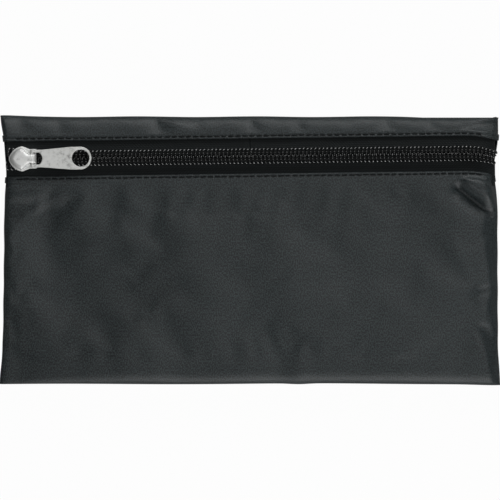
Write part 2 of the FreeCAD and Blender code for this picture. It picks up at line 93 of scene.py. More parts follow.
# Levels of the side seams, and how the zip bends and sinks into the right one.
SEAM_HIGH = 3.2
ZIP_SEAM_HIGH_LEFT = 7.9
ZIP_SEAM_HIGH_RIGHT = 5.0
DIP_START = 88.0
DIP_SPAN = 11.0
DIP_DOWN = 1.4
DROP_START = 94.5
DROP_SPAN = 6.0
DROP = 2.8

# How far from a side seam the cloth has risen to its own level.
HEM_ROLL = 2.6
STRIP_ROLL = 3.0
BACK_ROLL = 3.2
FOLD_ROLL = 4.5

# The two long folds: the level of their middles, the cloth's level on the back, and how far
# the bottom fold's curve reaches into the front.
TOP_FOLD_MIDDLE = 3.9
BOTTOM_FOLD_MIDDLE = 3.4
BACK_LEVEL = 0.1
FOLD_REACH = 9.0
TOP_FOLD_POWER = 2.3
BOTTOM_FOLD_POWER = 2.4


def smooth(value):
    value = np.clip(value, 0.0, 1.0)
    return value * value * (3 - 2 * value)


def bell(value, width):
    return np.exp(-((value / width) ** 2))


def bulged(level, value, table):
    """A level with a table's soft bumps added: middle, width and height of each."""
    for middle, width, height in table:
        level = level + height * bell(value - middle, width)
    return level


def zip_middle(x):
    """Y of the zip's middle at X; it bends towards the front where it meets the right side seam."""
    return ZIP_Y + ZIP_SLOPE * x - DIP_DOWN * np.clip((x - DIP_START) / DIP_SPAN, 0.0, 1.2) ** 2


def tape_level(x):
    """Z of the tapes' top faces at X; they sink to the right side seam."""
    return TAPE_TOP - DROP * np.clip((x - DROP_START) / DROP_SPAN, 0.0, 1.2) ** 2


# Bulges of the side seams along Y: middle, width and height in millimetres.
LEFT_SEAM = [(-57.0, 12.0, 1.25), (55.0, 9.0, 1.5), (34.0, 12.0, -1.0)]
RIGHT_SEAM = [(-57.0, 10.0, 1.1), (52.0, 8.0, 0.4), (33.0, 8.0, -1.6)]


def lower_hem(x):
    """Y of the lower hem's edge at X."""
    return zip_middle(x) - HEM_GAP


def seam_x(side, y):
    """|X| of a side seam at Y: the corners poke out and the zip pulls the seam in."""
    below = np.maximum(-y, 0.0)
    left = bulged(101.3 + 0.0125 * below, y, LEFT_SEAM)
    right = bulged(101.95 + 0.004 * below, y, RIGHT_SEAM)
    return np.where(np.asarray(side) < 0, left, right) + 0.07 * np.sin(y * 0.41 + 2 * side)


def seam_z(side, y):
    """Z of a side seam at Y: the zip's end holds it up, and it sinks to both corners."""
    at_zip = np.where(side < 0, ZIP_SEAM_HIGH_LEFT, ZIP_SEAM_HIGH_RIGHT)
    at_corner = 1.6 * bell(np.abs(y) - HALF_HEIGHT, 9.0)
    return SEAM_HIGH - at_corner + (at_zip - SEAM_HIGH) * bell(y - ZIP_Y, 6.5)


def top_fold_y(x):
    """Y of the top fold at X: nearly straight, and lower at the right."""
    level = HALF_HEIGHT - 0.1 - 0.6 * smooth((x - 60.0) / 25.0)
    return level + 0.5 * bell(x + HALF_LENGTH, 9.0) + 0.15 * np.sin(x * 0.13 + 1.3)


def bottom_fold_y(x):
    """Y of the bottom fold at X: nearly straight, and further out at the right corner."""
    level = -HALF_HEIGHT - 0.2 + 0.16 * np.sin(x * 0.06) + 0.12 * np.sin(x * 0.021 + 1.0)
    return level - 0.35 * bell(x - 20.0, 5.0) - 0.5 * bell(x - HALF_LENGTH, 12.0)


def ripple(x, y, wavelength, seed, count=9):
    """Smooth seeded unevenness of about unit height."""
    draw = np.random.default_rng(seed)
    total = np.zeros_like(np.asarray(x, float) + np.asarray(y, float))
    for _ in range(count):
        angle = draw.uniform(0, 2 * math.pi)
        wave = 2 * math.pi / (wavelength * draw.uniform(0.6, 1.6))
        across = x * math.cos(angle) + y * math.sin(angle)
        total = total + np.sin(wave * across + draw.uniform(0, 6.28))
    return total / math.sqrt(count / 2)


def crease(x, y, start, end, width, height):
    """A soft ridge, or a valley where height is negative, from start to end."""
    start, end = np.array(start, float), np.array(end, float)
    along = end - start
    length = np.hypot(*along)
    share = ((x - start[0]) * along[0] + (y - start[1]) * along[1]) / length**2
    clipped = np.clip(share, 0.0, 1.0)
    away = np.hypot(x - start[0] - clipped * along[0], y - start[1] - clipped * along[1])
    fade = 0.35 + 0.65 * np.sin(math.pi * clipped)
    return height * bell(away, width) * fade


# Creases that the cloth keeps: start, end, width and height in millimetres.
FRONT_CREASES = [
    ((78.0, 24.0), (95.0, 5.0), 5.0, 0.6),
    ((-99.0, 7.0), (-86.0, 18.0), 3.2, 0.8),
    ((-84.0, 18.0), (-83.0, -16.0), 6.5, -1.2),
    ((-70.0, 28.0), (-67.0, -12.0), 6.0, 0.7),
    ((-59.0, 29.0), (-54.0, -4.0), 5.5, -0.8),
    ((-44.0, 22.0), (-30.0, -12.0), 7.0, -0.5),
    ((-60.0, -8.0), (-20.0, -46.0), 9.0, -0.5),
    ((-92.0, -20.0), (-74.0, -44.0), 8.0, 0.5),
    ((6.0, -34.0), (16.0, -54.0), 3.5, -0.8),
    ((22.0, -36.0), (20.0, -54.0), 3.5, 0.7),
    ((40.0, 6.0), (62.0, 27.0), 7.0, -0.45),
    ((52.0, -50.0), (84.0, -20.0), 9.0, 0.5),
    ((94.0, -6.0), (97.5, -40.0), 3.0, -0.8),
    ((103.0, -14.0), (92.0, -18.0), 2.4, -2.0),
    ((103.0, -41.0), (93.0, -30.0), 3.4, -2.0),
    ((102.0, -27.0), (95.0, -24.0), 2.5, 0.9),
    ((-2.0, 20.0), (30.0, -30.0), 10.0, 0.45),
]

# Creases of the strip that start at the top fold: X, width and height in millimetres.
STRIP_CREASES = [
    (-96.0, 4.0, -0.9),
    (-80.0, 2.8, -1.0),
    (-58.0, 4.0, -0.5),
    (-39.5, 2.4, -1.3),
    (-31.5, 3.4, 0.7),
    (-0.8, 2.4, -1.0),
    (18.1, 2.2, -0.95),
    (36.0, 3.5, 0.5),
    (53.9, 2.7, -1.0),
    (62.0, 3.4, 0.6),
    (72.9, 2.3, -0.95),
    (92.0, 6.5, -0.9),
]

# Where the front's roll at the right seam is wider: middle, width and added share.
RIGHT_ROLL = [(8.0, 13.0, 0.35), (-34.0, 14.0, 0.4)]


def side_roll(x, y, radius):
    """From 0 on a side seam to 1 inside it: round at the left, more of a slope at the right."""
    side = np.sign(x)
    radius = radius * np.where(side < 0, 1.0, bulged(0.60, y, RIGHT_ROLL))
    inward = np.clip((seam_x(side, y) - np.abs(x)) / radius, 0.0, 1.0)
    power = np.where(side < 0, 3.0, 1.2)
    return (1 - (1 - inward) ** power) ** (1 / power)


# The deep fold under the zip's right end: the point it starts from and its direction.
CORNER_START = (86.2, 28.2)
CORNER_ALONG = (0.785, -0.619)


def corner_fold(x, y):
    """The deep fold's relief: a valley that rises steeply to a short plateau."""
    from_x, from_y = x - CORNER_START[0], y - CORNER_START[1]
    along = CORNER_ALONG[0] * from_x + CORNER_ALONG[1] * from_y
    across = CORNER_ALONG[0] * from_y - CORNER_ALONG[1] * from_x
    slope = np.clip((across + 9.5) / 7.1, 0.0, 1.0)
    wall = np.clip((across + 2.4) / 4.8, 0.0, 1.0)
    plateau_end = smooth((across - 4.8) / 3.5)
    profile = 5.8 * (1 - (1 - wall) ** 1.25) - 3.3 * slope**2 - 2.5 * plateau_end
    ends = smooth((along + 2.5) / 5.0) * (1 - smooth((along - 16.0) / 6.0))
    below_hem = smooth((lower_hem(x) - 1.6 - y) / 3.0)
    return profile * ends * below_hem * smooth((seam_x(1, y) - x) / 2.5)


def puckers(x, y):
    """Small waves that stand square to each seam and die out away from it."""
    side = np.sign(x)
    inward = np.clip(seam_x(side, y) - np.abs(x), 0.0, 99.0)
    below = np.clip(lower_hem(x) - y, 0.0, 200.0)
    above = np.clip(y + HALF_HEIGHT, 0.0, 200.0)
    at_sides = 0.50 * np.exp(-inward / 9.0) * ripple(0 * x + 30 * side, y, 15.0, seed=3)
    at_hem = 0.27 * np.exp(-below / 13.0) * ripple(x + 0.25 * below, 0 * y, 12.0, seed=5)
    at_fold = 0.28 * np.exp(-above / 10.0) * ripple(x, 0 * y, 14.0, seed=7)
    return at_sides + at_hem * smooth(below / 3.0) + at_fold * smooth(above / 4.0)


def front_height(x, y):
    """Z of the front cloth away from its folds."""
    crown = 0.7 * bell(y + 8.0, 42.0)
    left_slope = 3.8 * smooth((-36.0 - x) / 62.0)
    level = SHELL_TOP - 1.0 + crown - left_slope
    level = level + 0.36 * ripple(x, y, 46.0, seed=11) + 0.15 * ripple(x, y, 21.0, seed=12)
    hem = smooth((lower_hem(x) - 3.0 - y) / 14.0)
    level = (1 - hem) * (tape_level(x) + 0.95) + hem * level
    relief = puckers(x, y)
    for start, end, width, height in FRONT_CREASES:
        relief = relief + crease(x, y, start, end, width, height)
    return level + relief * smooth((lower_hem(x) - 2.8 - y) / 3.5)


# ------------------------------------------------------------------ meshes


def new_object(name, points, faces, uv=None):
    """A smooth-shaded mesh object from points in millimetres."""
    mesh = bpy.data.meshes.new(name)
    mesh.from_pydata((np.asarray(points) * MM).tolist(), [], [list(face) for face in faces])
    mesh.update()
    if uv is not None:
        layer = mesh.uv_layers.new(name="flat")
        corner_points = np.zeros(len(mesh.loops), np.int32)
        mesh.loops.foreach_get("vertex_index", corner_points)
        layer.data.foreach_set("uv", np.asarray(uv, np.float32)[corner_points].ravel())
    mesh.polygons.foreach_set("use_smooth", [True] * len(mesh.polygons))
    piece = bpy.data.objects.new(name, mesh)
    bpy.context.scene.collection.objects.link(piece)
    return piece


def grid_faces(rows, columns, first=0, closed=False):
    faces = []
    for row in range(rows - 1):
        for column in range(columns if closed else columns - 1):
            right = (column + 1) % columns
            a, b = first + row * columns + column, first + row * columns + right
            faces.append((a, b, b + columns, a + columns))
    return faces


def read_points(mesh):
    """A mesh's points in metres, one row each."""
    places = np.zeros(len(mesh.vertices) * 3)
    mesh.vertices.foreach_get("co", places)
    return places.reshape(-1, 3)


def write_points(mesh, places):
    mesh.vertices.foreach_set("co", places.ravel())
    mesh.update()


def apply_modifiers(piece):
    """Leaves the piece's evaluated mesh as its mesh, with no modifiers."""
    evaluated = piece.evaluated_get(bpy.context.evaluated_depsgraph_get())
    mesh = bpy.data.meshes.new_from_object(evaluated)
    old = piece.data
    piece.modifiers.clear()
    piece.data = mesh
    mesh.name = piece.name
    bpy.data.meshes.remove(old)


def refine(piece):
    """Splits each face of a sheet in four, smoothly."""
    subsurf = piece.modifiers.new("smooth", "SUBSURF")
    subsurf.levels = 1
    subsurf.render_levels = 1
    apply_modifiers(piece)


def thicken(piece, thickness):
    """Gives a sheet its thickness, inwards from the modelled face."""
    solid = piece.modifiers.new("thick", "SOLIDIFY")
    solid.thickness = thickness * MM
    solid.offset = -1.0
    solid.use_even_offset = False
    apply_modifiers(piece)


def end_caps(rings, sides):
    """The two faces that close a tube of that many rings."""
    first_of_last = (rings - 1) * sides
    return [tuple(range(sides))[::-1], tuple(range(first_of_last, first_of_last + sides))]


def tube(path, radius, sides):
    """Points and faces of a closed round tube along a path, its rings kept from twisting."""
    path = np.asarray(path, float)
    along = np.gradient(path, axis=0)
    along /= np.linalg.norm(along, axis=1)[:, None]
    normal = np.cross(along[0], [0.0, 0.0, 1.0])
    if np.linalg.norm(normal) < 1e-6:
        normal = np.array([1.0, 0.0, 0.0])
    points = []
    for place, direction in zip(path, along):
        normal = normal - direction * np.dot(normal, direction)
        normal /= np.linalg.norm(normal)
        other = np.cross(direction, normal)
        for turn in np.arange(sides) * 2 * math.pi / sides:
            points.append(place + radius * (math.cos(turn) * normal + math.sin(turn) * other))
    faces = grid_faces(len(path), sides, closed=True) + end_caps(len(path), sides)
    return np.array(points), faces


def joined(parts):
    """One list of points and faces from several."""
    points, faces, first = [], [], 0
    for part_points, part_faces in parts:
        points.append(part_points)
        faces.extend(tuple(first + index for index in face) for face in part_faces)
        first += len(part_points)
    return np.concatenate(points), faces


# ------------------------------------------------------------------ materials


class Surface:
    """A procedural material, built node by node."""

    def __init__(self, name):
        self.material = bpy.data.materials.new(name)
        self.material.use_nodes = True
        self.tree = self.material.node_tree
        self.shader = next(node for node in self.tree.nodes if node.type == "BSDF_PRINCIPLED")

    def add(self, kind, settings=None, **links):
        """A node; settings are its properties and plain inputs, links its linked inputs."""
        node = self.tree.nodes.new(kind)
        for key, setting in (settings or {}).items():
            if isinstance(key, str) and hasattr(node, key):
                setattr(node, key, setting)
            else:
                node.inputs[key].default_value = setting
        for key, source in links.items():
            number = key[1:]
            target = node.inputs[int(number) if number.isdigit() else key.replace("_", " ")]
            self.tree.links.new(source, target)
        return node

    def math(self, operation, first, second):
        node = self.add("ShaderNodeMath", {"operation": operation})
        for index, term in enumerate((first, second)):
            if isinstance(term, (int, float)):
                node.inputs[index].default_value = term
            else:
                self.tree.links.new(term, node.inputs[index])
        return node.outputs[0]

    def total(self, *weighted):
        """The sum of values, each given with its weight."""
        terms = [self.math("MULTIPLY", value, weight) for value, weight in weighted]
        result = terms[0]
        for term in terms[1:]:
            result = self.math("ADD", result, term)
        return result

    def noise(self, vector, scale, detail=3.0, roughness=0.5):
        settings = {"Scale": scale, "Detail": detail, "Roughness": roughness}
        return self.add("ShaderNodeTexNoise", settings, Vector=vector).outputs["Fac"]

    def bands(self, vector, scale, direction, distortion=0.0):
        return self.add("ShaderNodeTexWave", {
            "wave_type": "BANDS", "bands_direction": direction, "Scale": scale,
            "Distortion": distortion, "Detail": 1.0, "Detail Scale": 2.0,
        }, Vector=vector).outputs["Fac"]

    def colours(self, factor, stops):
        ramp = self.add("ShaderNodeValToRGB", Fac=factor)
        elements = ramp.color_ramp.elements
        while len(elements) < len(stops):
            elements.new(0.5)
        for element, (position, colour) in zip(elements, stops):
            element.position = position
            element.color = (*colour, 1.0)
        return ramp.outputs["Color"]

    def span(self, value, low, high, new_low, new_high):
        return self.add("ShaderNodeMapRange", {
            "From Min": low, "From Max": high, "To Min": new_low, "To Max": new_high,
        }, Value=value).outputs["Result"]

    def bump(self, height, strength, distance, before=None):
        links = {"Height": height}
        if before is not None:
            links["Normal"] = before
        settings = {"Strength": strength, "Distance": distance}
        return self.add("ShaderNodeBump", settings, **links).outputs["Normal"]

    def place(self):
        """The piece's own coordinates."""
        return self.add("ShaderNodeTexCoord").outputs["Object"]

    def flat(self):
        """The cloth's own flat coordinates."""
        return self.add("ShaderNodeUVMap", {"uv_map": "flat"}).outputs["UV"]

    def stretched(self, vector, scale):
        return self.add("ShaderNodeMapping", {"Scale": scale}, Vector=vector).outputs["Vector"]

    def finish(self, settings, **links):
        for key, setting in settings.items():
            self.shader.inputs[key].default_value = setting
        for key, source in links.items():
            self.tree.links.new(source, self.shader.inputs[key.replace("_", " ")])
        return self.material


def band_scale(pitch_mm):
    """The scale of a wave texture for a pitch; its bands repeat every 2 pi / (20 x scale)."""
    return 2 * math.pi / (20 * pitch_mm * MM)


def cloth_material():
    """Dark slate nylon in a fine plain weave."""
    surface = Surface("slate_nylon")
    flat = surface.flat()
    place = surface.place()
    warp = surface.bands(flat, band_scale(0.35), "X", 1.1)
    weft = surface.bands(flat, band_scale(0.39), "Y", 1.1)
    weave = surface.math("MULTIPLY", warp, weft)
    yarn = surface.noise(surface.stretched(flat, (1.0, 0.6, 1.0)), 2300.0, 2.0, 0.6)
    yarn = surface.span(yarn, 0.38, 0.62, 0.0, 1.0)
    slub = surface.noise(place, 95.0, 3.0, 0.6)
    cloud = surface.noise(place, 16.0, 2.0, 0.5)
    shade = surface.total((weave, 0.14), (yarn, 1.00), (slub, 0.14), (cloud, 0.26))
    colour = surface.colours(shade, [
        (0.30, (0.0016, 0.0036, 0.0042)),
        (0.70, (0.0108, 0.0165, 0.0178)),
        (1.00, (0.0325, 0.0438, 0.0464)),
    ])
    rough = surface.span(yarn, 0.0, 1.0, 0.37, 0.53)
    relief = surface.math("ADD", weave, surface.math("MULTIPLY", yarn, 0.5))
    normal = surface.bump(relief, 0.55, 0.00009)
    normal = surface.bump(slub, 0.10, 0.0006, normal)
    return surface.finish(
        {"Specular IOR Level": 0.52, "Sheen Weight": 0.03, "Sheen Roughness": 0.4},
        Base_Color=colour, Roughness=rough, Normal=normal,
    )


def tape_material():
    """Black zip tape, woven in a fine herringbone."""
    surface = Surface("zip_tape")
    flat = surface.flat()
    ribs = surface.bands(flat, band_scale(0.62), "DIAGONAL", 1.2)
    cords = surface.bands(flat, band_scale(0.9), "Y", 0.4)
    yarn = surface.noise(flat, 1800.0, 3.0, 0.6)
    weave = surface.total((ribs, 0.5), (cords, 0.35))
    shade = surface.total((weave, 0.6), (yarn, 0.4))
    colour = surface.colours(shade, [
        (0.15, (0.0024, 0.0038, 0.0042)),
        (0.50, (0.0066, 0.0090, 0.0096)),
        (0.85, (0.0170, 0.0215, 0.0225)),
    ])
    normal = surface.bump(surface.math("ADD", weave, yarn), 0.7, 0.00012)
    return surface.finish(
        {"Roughness": 0.7, "Specular IOR Level": 0.22, "Sheen Weight": 0.03},
        Base_Color=colour, Normal=normal,
    )


def coil_material():
    """Black nylon filament, smooth with faint drawing marks."""
    surface = Surface("coil_nylon")
    marks = surface.noise(surface.place(), 2400.0, 2.0, 0.5)
    colour = surface.colours(marks, [
        (0.3, (0.0060, 0.0070, 0.0075)),
        (0.7, (0.0130, 0.0145, 0.0150)),
    ])
    rough = surface.span(marks, 0.3, 0.7, 0.16, 0.28)
    normal = surface.bump(marks, 0.12, 0.00005)
    return surface.finish(
        {"Specular IOR Level": 1.0, "Coat Weight": 0.7, "Coat Roughness": 0.12, "Coat IOR": 1.65},
        Base_Color=colour, Roughness=rough, Normal=normal,
    )


def thread_material(name, dark, light):
    """Twisted sewing thread."""
    surface = Surface(name)
    place = surface.place()
    twist = surface.bands(place, band_scale(0.32), "DIAGONAL", 0.5)
    fuzz = surface.noise(place, 3800.0, 2.0, 0.6)
    shade = surface.total((twist, 0.6), (fuzz, 0.4))
    colour = surface.colours(shade, [(0.2, dark), (0.8, light)])
    normal = surface.bump(shade, 0.6, 0.00006)
    return surface.finish(
        {"Roughness": 0.75, "Specular IOR Level": 0.15, "Sheen Weight": 0.04},
        Base_Color=colour, Normal=normal,
    )


def metal_material(name, light, dark, rough_low, rough_high, dish_shade_at=None):
    """Tumbled metal: satin, with fine scratches and duller patches, and, round a given point,
    painted shade of a shallow dish.
    """
    surface = Surface(name)
    place = surface.place()
    scratches = surface.noise(surface.stretched(place, (1.0, 7.0, 4.0)), 900.0, 4.0, 0.7)
    patches = surface.noise(place, 520.0, 5.0, 0.75)
    pits = surface.add("ShaderNodeTexVoronoi", {"Scale": 1500.0}, Vector=place).outputs["Distance"]
    grime_and_shade = surface.total((patches, 0.7), (scratches, 0.3))
    # Round the given point the colour is darker and rougher: painted shade of a shallow dish.
    if dish_shade_at is not None:
        settings = {"operation": "DISTANCE", 1: dish_shade_at}
        away = surface.add("ShaderNodeVectorMath", settings, _0=place).outputs["Value"]
        grime_and_shade = surface.math("SUBTRACT", grime_and_shade, surface.span(away, 0.0008, 0.0048, 0.085, 0.0))
    bright = tuple(min(1.0, channel * 1.12) for channel in light)
    colour = surface.colours(grime_and_shade, [(0.30, dark), (0.46, light), (0.75, bright)])
    rough = surface.span(grime_and_shade, 0.3, 0.7, rough_high, rough_low)
    normal = surface.bump(scratches, 0.16, 0.00006)
    normal = surface.bump(pits, 0.05, 0.00008, normal)
    return surface.finish({"Metallic": 1.0}, Base_Color=colour, Roughness=rough, Normal=normal)


CLOTH_LOOK = cloth_material()
TAPE_LOOK = tape_material()
COIL_LOOK = coil_material()
SEAM_THREAD_LOOK = thread_material(
    "seam_thread", (0.0015, 0.0020, 0.0022), (0.0060, 0.0074, 0.0078))
COIL_THREAD_LOOK = thread_material(
    "coil_thread", (0.0016, 0.0020, 0.0022), (0.0052, 0.0062, 0.0065))
CORD_LOOK = thread_material(
    "filler_cord", (0.0035, 0.0040, 0.0042), (0.0090, 0.0100, 0.0105))
METAL_LOOK = metal_material("slider_zinc", (0.83, 0.835, 0.82), (0.42, 0.42, 0.41), 0.52, 0.66)
PULLER_LOW, PULLER_HIGH = node_box("puller")
# The point round which the puller's colour is darkened, this far from its tip: painted shade of a
# shallow dish beside the ring hole.
DISH_SHADE_FROM_TIP = 9.6
DISH_SHADE_AT = (
    (PULLER_HIGH[0] - DISH_SHADE_FROM_TIP) * MM,
    (PULLER_LOW[1] + PULLER_HIGH[1]) / 2 * MM,
    PULLER_LOW[2] * MM,
)
PULLER_LOOK = metal_material(
    "puller_zinc", (0.60, 0.605, 0.59), (0.20, 0.20, 0.195), 0.42, 0.56, DISH_SHADE_AT)
SPRING_LOOK = metal_material("spring_steel", (0.46, 0.46, 0.46), (0.30, 0.30, 0.30), 0.25, 0.4)


def dress(piece, look):
    piece.data.materials.clear()
    piece.data.materials.append(look)


# ------------------------------------------------------------------ cloth


EDGE_STEPS = [0.0, 0.25, 0.6, 1.1, 1.8, 2.7, 3.9, 5.4]
SPACING = 1.6


def column_shares():
    """Shares along a row of cloth, closer together beside the side seams."""
    length = 2 * WAIST
    steps, last = EDGE_STEPS[:-1], EDGE_STEPS[-1]
    count = round((length - 2 * last) / SPACING)
    middle = np.linspace(last, length - last, count + 1)
    return np.concatenate([steps, middle, length - np.array(steps[::-1])]) / length


# The hem's section, from the tucked-under end over its edge to the level cloth: the distance
# from the hem's edge into the case, and the height over the tape.
HEM_SECTION = [
    (2.6, 0.10), (1.5, 0.08), (0.6, 0.10), (0.14, 0.22), (0.0, 0.50),
    (0.08, 0.78), (0.25, 0.95), (0.48, 1.00), (0.7, 0.96), (0.92, 0.84),
    (1.1, 0.79), (1.3, 0.84), (1.6, 0.95), (2.2, 1.01), (3.1, 1.0),
]


def arc(steps, start_angle, end_angle):
    """Pairs of cosine and sine from one angle to another, in degrees."""
    angles = np.radians(np.linspace(start_angle, end_angle, steps))
    return list(zip(np.cos(angles), np.sin(angles)))


def rounded(share, power):
    """A quarter of a squarish circle: 1 where share is 0, and 0 where it is 1."""
    return (1 - share**power) ** (1 / power)


def seamed(x, y, z, radius):
    """Lets a row of cloth roll down to the side seams."""
    roll = side_roll(x, y, radius)
    return seam_z(np.sign(x), y) * (1 - roll) + z * roll


def front_roll(y):
    """How far from a side seam the front cloth has risen: little where the zip holds it up."""
    return 6.5 - 3.6 * bell(y - ZIP_Y, 14.0)


def row(shares, y_of_x, z_of_xy):
    """One row of cloth points; its Y may depend on X, so X and Y are settled together."""
    x = np.linspace(-WAIST, WAIST, len(shares))
    for _ in range(3):
        y = y_of_x(x)
        left, right = -seam_x(-1, y), seam_x(1, y)
        x = left + (right - left) * shares
    y = y_of_x(x)
    return np.stack([x, y, z_of_xy(x, y)], axis=1)


def flat_uv(rows):
    """The cloth's own flat coordinates in metres: across each row, and along the cloth."""
    middle = rows[:, rows.shape[1] // 2]
    steps = np.linalg.norm(np.diff(middle, axis=0), axis=1)
    uv = np.zeros((*rows.shape[:2], 2))
    uv[..., 0] = rows[..., 0] * MM
    uv[..., 1] = np.concatenate([[0.0], np.cumsum(steps)])[:, None] * MM
    return uv.reshape(-1, 2)


# The front's length at the zip's middle, and its end's distance from the bottom fold.
FRONT_LENGTH = ZIP_Y - HEM_GAP + (HALF_HEIGHT - 6.0)
FRONT_END = FOLD_REACH + 0.4


def front_row(shares, inward):
    """A row of the front, that far below the lower hem's edge near the zip."""
    def y_of_x(x):
        low = bottom_fold_y(x) + FRONT_END
        return lower_hem(x) - inward * (lower_hem(x) - low) / FRONT_LENGTH

    return row(shares, y_of_x, lambda x, y: seamed(x, y, front_height(x, y), front_roll(y)))


def pouch_rows():
    """The cloth from the lower hem, down the front, round the bottom fold and up the back.

    Also gives the numbers of the first row of the front and of the first one past it.
    """
    shares = column_shares()
    rows = []
    for inward, height in HEM_SECTION:
        rows.append(row(
            shares,
            lambda x, inward=inward: lower_hem(x) - inward,
            lambda x, y, height=height: seamed(x, y, tape_level(x) + height, front_roll(y)),
        ))
    first = len(rows)
    for inward in np.arange(HEM_SECTION[-1][0] + 1.4, FRONT_LENGTH, SPACING):
        rows.append(front_row(shares, inward))
    last = len(rows)

    def fold_height(x, up):
        level = front_height(x, bottom_fold_y(x) + FOLD_REACH)
        return BOTTOM_FOLD_MIDDLE + (level - BOTTOM_FOLD_MIDDLE) * up

    for share in np.sin(np.radians(np.linspace(4, 90, 15))):
        up = rounded(share, BOTTOM_FOLD_POWER)
        rows.append(row(
            shares,
            lambda x, share=share: bottom_fold_y(x) + FOLD_REACH * (1 - share),
            lambda x, y, up=up: seamed(x, y, fold_height(x, up), front_roll(y)),
        ))
    for across, up in arc(6, -18, -90):
        height = BOTTOM_FOLD_MIDDLE + (BOTTOM_FOLD_MIDDLE - BACK_LEVEL) * up
        rows.append(row(
            shares,
            lambda x, across=across: bottom_fold_y(x) + 3.0 * (1 - across),
            lambda x, y, height=height: seamed(x, y, height, FOLD_ROLL),
        ))
    back_end = HINGE_Y - 1.1
    lip = [(0.2, 0.2), (0.32, 0.6), (0.35, 1.2), (0.32, 1.9)]
    back = [(y, BACK_LEVEL) for y in np.linspace(-HALF_HEIGHT + 4.6, back_end, 62)]
    for y_back, height in back + [(back_end + past, height) for past, height in lip]:
        rows.append(row(
            shares,
            lambda x, y_back=y_back: np.full_like(x, y_back),
            lambda x, y, height=height: seamed(x, y, height, BACK_ROLL),
        ))
    return np.array(rows), first, last


def strip_start(x):
    """Y where the strip leaves the upper hem."""
    return zip_middle(x) + HEM_GAP + HEM_SECTION[-2][0]


def strip_height(x, y):
    """Z of the strip's outer face, between the upper hem and the top fold."""
    share = np.clip((y - strip_start(x)) / (top_fold_y(x) - strip_start(x)), 0.0, 1.0)
    up = rounded(share, TOP_FOLD_POWER)
    wave = 0.46 * ripple(x, 0 * y, 24.0, seed=31) + 0.26 * ripple(x, y, 12.0, seed=32)
    level = TOP_FOLD_MIDDLE + (tape_level(x) + 1.0 - TOP_FOLD_MIDDLE) * up
    return level + (wave * share + strip_creases(x, y)) * up**0.3


def strip_rows():
    """The cloth from the upper hem over the top fold to the back's hinge line."""
    shares = column_shares()
    rows = []
    for inward, height in HEM_SECTION[:-1]:
        rows.append(row(
            shares,
            lambda x, inward=inward: zip_middle(x) + HEM_GAP + inward,
            lambda x, y, height=height: seamed(x, y, tape_level(x) + height, HEM_ROLL),
        ))
    for share in np.sin(np.radians(np.linspace(5, 90, 19))):
        rows.append(row(
            shares,
            lambda x, share=share: strip_start(x) + share * (top_fold_y(x) - strip_start(x)),
            lambda x, y: seamed(x, y, strip_height(x, y), STRIP_ROLL),
        ))
    hinge_line = HINGE_Y - 0.35
    for across, up in arc(5, -15, -90):
        height = TOP_FOLD_MIDDLE + (TOP_FOLD_MIDDLE - 0.25) * up
        rows.append(row(
            shares,
            lambda x, across=across: top_fold_y(x) + (hinge_line - top_fold_y(x)) * (1 - across),
            lambda x, y, height=height: seamed(x, y, height, BACK_ROLL),
        ))
    return np.array(rows)


def strip_creases(x, y):
    """The V-shaped creases that run down from the top fold, and the dent at the right corner."""
    down = np.clip((top_fold_y(x) - y) / (top_fold_y(x) - zip_middle(x) - HEM_GAP - 2.2), 0.0, 1.0)
    total = np.zeros_like(x)
    for place, width, height in STRIP_CREASES:
        total = total + height * bell(x - place - 2.4 * down, width * (0.5 + 1.4 * down))
    total = total + crease(x, y, (88.5, 48.5), (105.0, 54.0), 2.8, -2.2)
    return total * (1 - down**3)


CLOTH_FRAMES = 18
CLOTH_LIMIT = 1.2
HELD_COLUMNS = 4


def settle(piece, held):
    """Runs the cloth simulation and applies it; the points of the group held don't move."""
    cloth = piece.modifiers.new("cloth", "CLOTH")
    settings = cloth.settings
    settings.quality = 6
    settings.mass = 0.12
    settings.tension_stiffness = 40.0
    settings.compression_stiffness = 30.0
    settings.shear_stiffness = 8.0
    settings.bending_stiffness = 1.5
    settings.vertex_group_mass = held
    settings.use_pressure = True
    settings.uniform_pressure_force = 0.05
    settings.shrink_min = -0.007
    settings.effector_weights.gravity = 0.0
    cloth.collision_settings.use_collision = False
    cloth.collision_settings.use_self_collision = False
    scene = bpy.context.scene
    for number in range(1, CLOTH_FRAMES + 1):
        scene.frame_set(number)
    apply_modifiers(piece)
    scene.frame_set(1)


def relax_front(piece, columns, first, last):
    """Lets the front's cloth settle under a little air, held at the hem, the seams and the fold."""
    rest = read_points(piece.data)
    held = piece.vertex_groups.new(name="held")
    for index in range(len(rest)):
        line, column = divmod(index, columns)
        inside = min(column, columns - 1 - column)
        free = first + 1 < line < last and inside > HELD_COLUMNS
        held.add([index], 0.0 if free else 1.0, "REPLACE")
    settle(piece, "held")
    shift = read_points(piece.data) - rest
    far = np.linalg.norm(shift, axis=1)
    print("cloth moved, mm:", round(far.max() / MM, 3), round(far.mean() / MM, 3))
    limit = CLOTH_LIMIT * MM
    shift *= (limit * np.tanh(far / limit) / np.maximum(far, 1e-12))[:, None]
    x, y = rest[:, 0] / MM, rest[:, 1] / MM
    inside = np.minimum(lower_hem(x) - y, y - bottom_fold_y(x) - 5.0)
    corner = bell(np.hypot(x - 92.0, y - 22.0), 16.0)
    shift *= (smooth(inside / 9.0) * (1 - 0.85 * corner))[:, None]
    write_points(piece.data, rest + shift)
    piece.vertex_groups.clear()


def fold_corner(piece):
    """Presses the deep fold into the front's right corner."""
    places = read_points(piece.data)
    x, y, z = places.T / MM
    front = (x > 60.0) & (y > -20.0) & (z > 2.3)  # only the upper face, near the corner
    places[front, 2] += corner_fold(x[front], y[front]) * MM
    write_points(piece.data, places)


ALLOWANCE_LOW = 0.62
ALLOWANCE_SHOULDER = 1.0
ALLOWANCE_HIGH = 1.26
ALLOWANCE_ROWS = 30


